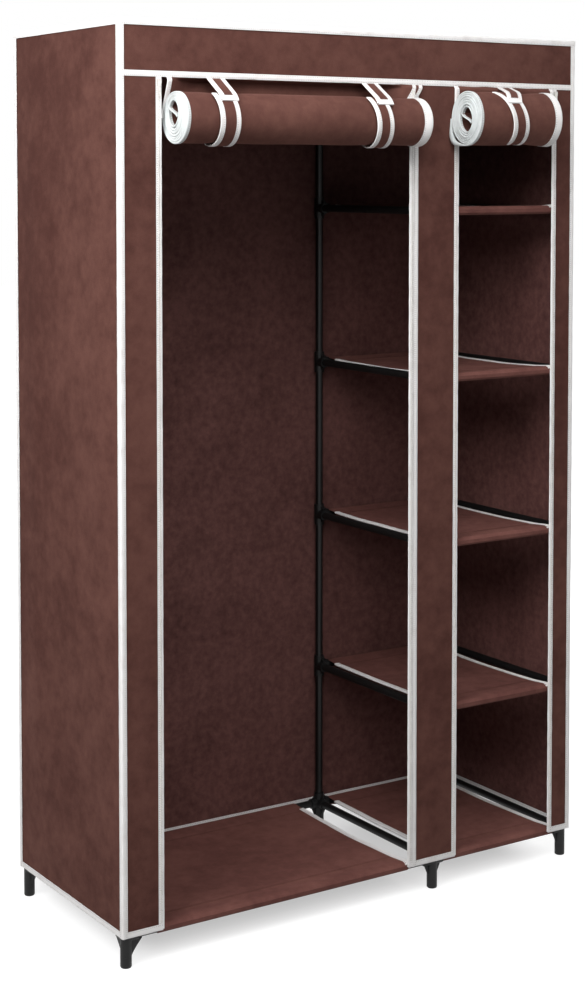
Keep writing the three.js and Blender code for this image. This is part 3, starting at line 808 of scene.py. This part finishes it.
def doorCurtain(door, facts):
    node = f"{door}_curtain"
    low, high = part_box(node)
    rollLow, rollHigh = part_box(f"{door}_roll")
    axisY, axisZ = (rollLow.y + rollHigh.y) / 2 + facts["back"], (rollLow.z + rollHigh.z) / 2
    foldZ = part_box(facts["straps"][0])[1].z - foldDrop
    seamY = outerY + curtain["seamBack"]
    endY = axisY + (rollHigh.z - rollLow.z) / 2 + curtain["rollGap"]
    route = Route([Vector((seamY, high.z)), Vector((seamY, foldZ)), Vector((endY, axisZ))])
    width = high.x - low.x - sum(facts["seamIn"])  # of the doorway, drawn in to the roll's below

    def form(u, v):
        at = route.at(v)
        free = ease(high.z - at.y, *curtain["freeTop"]) * ease(at.y - low.z, *curtain["freeLow"])
        across, rise = u / curtain["rippleLength"], at.y * curtain["rippleRise"]
        ripple = curtain["ripple"] * wave(across, curtain["rippleAt"], rise, facts["seed"])
        nearSeam = ease(at.y, axisZ, axisZ + (high.z - axisZ) * facts["flareFrom"])
        inner = ease(u, *curtain["leftRun"]) * ease(width - u, *curtain["rightRun"])  # 0 at its ends
        below = ease(foldZ - at.y, *curtain["belowFold"]) * ease(at.y, axisZ, foldZ - curtain["backAt"])
        forwards = curtain["endY"] + (facts["seamY"] - curtain["endY"]) * inner
        left, right = facts["seamIn"][0] * nearSeam, high.x - low.x - facts["seamIn"][1] * nearSeam
        y = at.x + (forwards + facts["recess"] * inner) * below + ripple * free
        return Vector((low.x + left + u * (right - left) / width, y, at.y))

    cloth = layCloth(f"{node}_sheet", width, route.length, curtain["cell"], form, curtain["thickness"],
                     "rolled")
    tapes = []
    second = width - curtain["tape"] - curtain["secondGap"]
    edges = {"left": (0.0, 1), "right": (width, -1), "second": (second, -1)}
    for side in facts["lines"]:
        edge, inward = edges[side]
        tapes.append(bindEdge(f"{node}_tape_{side}", form, edge, inward, route.marks[1] - curtain["tapeLead"],
                              route.length, curtain["tape"], curtain["tapeCell"]))
    for piece in (cloth, *tapes):
        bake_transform(piece)
    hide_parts(node)


for door, facts in doors.items():
    doorCurtain(door, facts)
print("curtains hung:", len(doors))

# Straps with white edges: a loop from the seam behind the roll and up its front, and a tab over the roll.
# loop and tab give how far each stands off the strap's place in x, at its start and at its end
strap = {
    "thickness": 0.0012, "tape": 0.0085, "clear": 0.0027, "tabLift": 0.0016, "loopLead": 3, "loopSteps": 60,
    "tabSteps": 8, "cell": (0.006, 0.004), "tapeCell": 0.004, "endBar": 0.011, "barFold": 0.0017,
    "barOver": 0.001, "behind": 0.0044, "recessShare": 1.4, "sewnOut": 0.0008, "anchor": 0.002, "keep": 0.06}
strapLean = {
    "left_door_strap_1": {
        "loop": (0.004, -0.018), "tab": (0.003, -0.010), "wider": 0.005, "onRoll": 24, "bend": 1},
    "left_door_strap_2": {
        "loop": (0.016, -0.028), "tab": (0.001, -0.013), "wider": 0.001, "onRoll": 24, "bend": 1},
    "right_door_strap": {
        "loop": (-0.014, -0.068), "tab": (-0.003, -0.056), "wider": 0.002, "onRoll": 44, "bend": 2}}


def doorStrap(node, door, facts):
    low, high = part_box(node)
    rollLow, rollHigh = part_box(f"{door}_roll")
    axis = Vector(((rollLow.y + rollHigh.y) / 2 + facts["back"], (rollLow.z + rollHigh.z) / 2 + facts["up"]))
    loopRadius = (rollHigh.z - rollLow.z) / 2 + strap["clear"]
    tabRadius = loopRadius + strap["tabLift"]
    lean = strapLean[node]
    foldZ = high.z - foldDrop
    behindY = outerY + strap["behind"] + facts["recess"] * strap["recessShare"]
    sewn = Vector((outerY - strap["sewnOut"], foldZ))
    toSewn = sewn - axis
    leave = math.atan2(toSewn.y, toSewn.x) + math.acos(tabRadius / toSewn.length)
    loopEnd = leave + math.radians(strap["loopLead"]) - 2 * math.pi
    aroundRoll = arcPoints(axis, loopRadius, 0.0, loopEnd, strap["loopSteps"])
    overRoll = arcPoints(axis, tabRadius, leave, leave + math.radians(lean["onRoll"]), strap["tabSteps"])
    routes = {
        "loop": (Route([Vector((behindY, high.z)), Vector((behindY, foldZ)), *aroundRoll]),
                 lean["wider"], lean["bend"]),
        "tab": (Route([sewn, *overRoll]), 0, 1)}
    for part, (route, wider, bend) in routes.items():
        width = high.x - low.x + wider
        first, last = lean[part]

        def form(u, v, route=route, left=low.x - wider / 2, first=first, last=last, bend=bend):
            at = route.at(v)
            share = min(1.0, max(0.0, v / route.length))
            return Vector((left + u + first + (last - first) * share ** bend, at.x, at.y))

        band = layCloth(f"{node}_{part}", width, route.length, strap["cell"], form, strap["thickness"],
                        "rolled")
        tapes = []
        for side, (edge, inward) in {"left": (0.0, 1), "right": (width, -1)}.items():
            tapes.append(bindEdge(f"{node}_{part}_tape_{side}", form, edge, inward, 0.0, route.length,
                                  strap["tape"], strap["tapeCell"]))
        if part == "tab":
            turned = lambda u, v, form=form: form(v, u)
            tapes.append(bindEdge(f"{node}_tab_end", turned, route.length + strap["barOver"], -1, 0.0, width,
                                  strap["endBar"], strap["tapeCell"], strap["barFold"]))
        for piece in (band, *tapes):
            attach(piece, "root")
            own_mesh(piece)
    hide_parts(node)


for door, facts in doors.items():
    for node in facts["straps"]:
        doorStrap(node, door, facts)
print("straps tied:", len(strapLean))

# Zip teeth down the middle of each doorway tape, under the sliders
zipTeeth = {
    "pitch": 0.0026, "wide": 0.0034, "tall": 0.0016, "deep": 0.0008, "proud": 0.00022, "sideStep": 0.0004,
    "faceShare": 0.62, "low": 0.014, "high": 0.012, "sharp": 30}


def zipRun(name, x):
    bm = bmesh.new()
    start = bottom + zipTeeth["low"]
    count = int((seamZ - zipTeeth["high"] - start) / zipTeeth["pitch"])
    y = outerY + zipTeeth["deep"] / 2 - zipTeeth["proud"]
    for k in range(count):
        made = bmesh.ops.create_cube(bm, size=1.0)
        side = 1 if k % 2 else -1
        centre = Vector((x + side * zipTeeth["sideStep"], y, start + zipTeeth["pitch"] * k))
        for vert in made["verts"]:
            face = zipTeeth["faceShare"] if vert.co.y < 0 else 1.0
            vert.co = centre + Vector((vert.co.x * zipTeeth["wide"] * face, vert.co.y * zipTeeth["deep"],
                                       vert.co.z * zipTeeth["tall"] * face))
    keepBinding(makeObject(name, bm, "enamel", zipTeeth["sharp"]))


for door in doors:
    for side in (1, 2):
        sliderLow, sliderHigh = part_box(f"{door}_zip_slider_{side}")
        zipRun(f"zip_{door}_{side}", (sliderLow.x + sliderHigh.x) / 2)
print("zips run:", 2 * len(doors))

# Webs under the front left connector: they follow its two level tubes and run down its foot
web = {
    "thickness": 0.008, "top": 0.052, "foot": 0.020, "footRise": 0.002, "inner": 0.006, "start": 0.0105,
    "reach": {"x": 0.034, "y": 0.036}, "steps": 6, "curve": 1.25, "round": 0.0012, "sharpOver": 0.6}
footLow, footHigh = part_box("left_front_foot")
footMiddle = (footLow + footHigh) / 2
for way, reach in web["reach"].items():
    bm = bmesh.new()
    line = [(web["inner"], web["foot"] + web["footRise"])]
    for k in range(web["steps"] + 1):
        share = k / web["steps"]
        out = web["start"] + (reach - web["start"]) * share ** web["curve"]
        line.append((out, web["foot"] + (web["top"] - web["foot"]) * share))
    line.append((web["inner"], web["top"]))
    half = web["thickness"] / 2
    sides = []
    for sign in (-1, 1):
        places = [(r, sign * half) if way == "x" else (-sign * half, r) for r, z in line]
        rim = [bm.verts.new((footMiddle.x + x, footMiddle.y + y, z)) for (x, y), (r, z) in zip(places, line)]
        sides.append(rim)
    first, second = sides
    bm.faces.new(reversed(first))
    bm.faces.new(second)
    for k in range(len(line)):
        after = (k + 1) % len(line)
        bm.faces.new((first[k], first[after], second[after], second[k]))
    bmesh.ops.recalc_face_normals(bm, faces=bm.faces)
    edges = [edge for edge in bm.edges if edge.calc_face_angle() > web["sharpOver"]]
    bmesh.ops.bevel(bm, geom=edges, offset=web["round"], segments=2, affect="EDGES")
    piece = makeObject(f"left_front_foot_web_{way}", bm, "plastic")
    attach(piece, "root")
print("webs moulded:", len(web["reach"]))

# Frame, posts and feet keep their CAD shape: the facets are smoothed in the render
frameFinish = {"weld": 0.00002, "sharp": 38}
for name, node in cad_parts.items():
    if node.hide_render:
        continue
    material = "steel" if "post" in name else "enamel" if "slider" in name else "plastic"
    node.data.materials.clear()
    node.data.materials.append(paints[material])
    weld = node.modifiers.new("weld", "WELD")
    weld.merge_threshold = frameFinish["weld"]
    for polygon in node.data.polygons:
        polygon.use_smooth = True
    split = node.modifiers.new("edges", "EDGE_SPLIT")
    split.split_angle = math.radians(frameFinish["sharp"])
print("frame finished")

# Floor and studio light. The floor is seen as white further out, and as pale grey under and beside the
# object, where a box of painted shadow darkens its glow
studio = {
    "floorSize": 40, "floorTone": 0.38, "floorRough": 0.9, "worldLevel": 0.10, "glow": (0.9, 2.0, 0.80, 1.0),
    "underMiddle": 0.13, "underX": (0.42, 0.54), "underY": (0.18, 0.30), "paintedShadowDark": 0.30}
lamps = {
    "key": {"place": (-2.3, -1.0, 2.5), "aim": (0, 0, 0.9), "size": 1.2, "power": 46},
    "side": {"place": (-2.6, 0.0, 1.9), "aim": (0, 0, 0.9), "size": 1.2, "power": 19},
    "front": {"place": (-1.4, -2.4, 2.9), "aim": (0, 0, 0.9), "size": 1.2, "power": 24},
    "fill": {"place": (0.0, -2.8, 1.2), "aim": (0, 0, 0.9), "size": 1.2, "power": 5},
    "top": {"place": (-0.5, -1.3, 3.0), "aim": (0, 0, 0.9), "size": 1.2, "power": 24},
    "back": {"place": (1.5, 3.2, 3.0), "aim": (0, 0, 1.0), "size": 2.6, "power": 60},
    "right": {"place": (2.8, 1.0, 1.7), "aim": (0.5, 0, 0.9), "size": 1.2, "power": 24}}


def seenLevel(paint):  # 1 where a camera, glossy or transmission ray meets it
    rays = paint.node("ShaderNodeLightPath").socket.node
    camera, glossy, transmission = [
        Wire(paint, rays.outputs[f"Is {kind} Ray"]) for kind in ("Camera", "Glossy", "Transmission")]
    seen = camera + glossy + transmission
    return seen.math("MINIMUM", seen, 1.0)


bm = bmesh.new()
bmesh.ops.create_grid(bm, x_segments=1, y_segments=1, size=studio["floorSize"] / 2)
floorMesh = bpy.data.meshes.new("floor")
bm.to_mesh(floorMesh)
bm.free()
floorPaint = Paint("studioFloor", {
    "Base Color": (*[studio["floorTone"]] * 3, 1), "Roughness": studio["floorRough"],
    "Specular IOR Level": 0.0, "Emission Strength": 1.0})
floorPlace = floorPaint.place()
fromMiddle = floorPaint.node("ShaderNodeVectorMath", {"operation": "LENGTH"}, (floorPlace,), 1)
onFloor = floorPaint.node("ShaderNodeSeparateXYZ", inputs=(floorPlace,)).socket.node
fromX = Wire(floorPaint, onFloor.outputs[0]).absolute()
fromY = (Wire(floorPaint, onFloor.outputs[1]) - studio["underMiddle"]).absolute()
# painted shadow: a soft-edged box under the object that darkens the floor's glow
under = fromX.between(*studio["underX"], 1.0, 0.0) * fromY.between(*studio["underY"], 1.0, 0.0)
glow = (fromMiddle.between(*studio["glow"]) - under * studio["paintedShadowDark"]) * seenLevel(floorPaint)
floorPaint.feed({"Emission Color": floorPaint.mix(glow, (0, 0, 0, 1), (1, 1, 1, 1))})
floorMesh.materials.append(floorPaint.material)
floor = bpy.data.objects.new("floor", floorMesh)
bpy.context.scene.collection.objects.link(floor)


class Sky(Paint):  # the world's nodes, fed as a material's are
    def __init__(self, name):
        self.material = bpy.data.worlds.new(name)
        self.material.use_nodes = True
        self.tree = self.material.node_tree
        self.shader = self.tree.nodes["Background"]


sky = Sky("studio")
bpy.context.scene.world = sky.material
seenWhite = seenLevel(sky) * (1 - studio["worldLevel"]) + studio["worldLevel"]
sky.feed({"Color": (1, 1, 1, 1), "Strength": seenWhite})

for name, lamp in lamps.items():
    light = bpy.data.lights.new(name, "AREA")
    light.size = lamp["size"]
    light.energy = lamp["power"]
    lightObject = bpy.data.objects.new(name, light)
    lightObject.location = lamp["place"]
    lightObject.visible_camera = False
    aim = Vector(lamp["aim"]) - Vector(lamp["place"])
    lightObject.rotation_euler = aim.to_track_quat("-Z", "Y").to_euler()
    bpy.context.scene.collection.objects.link(lightObject)
print("studio lit")
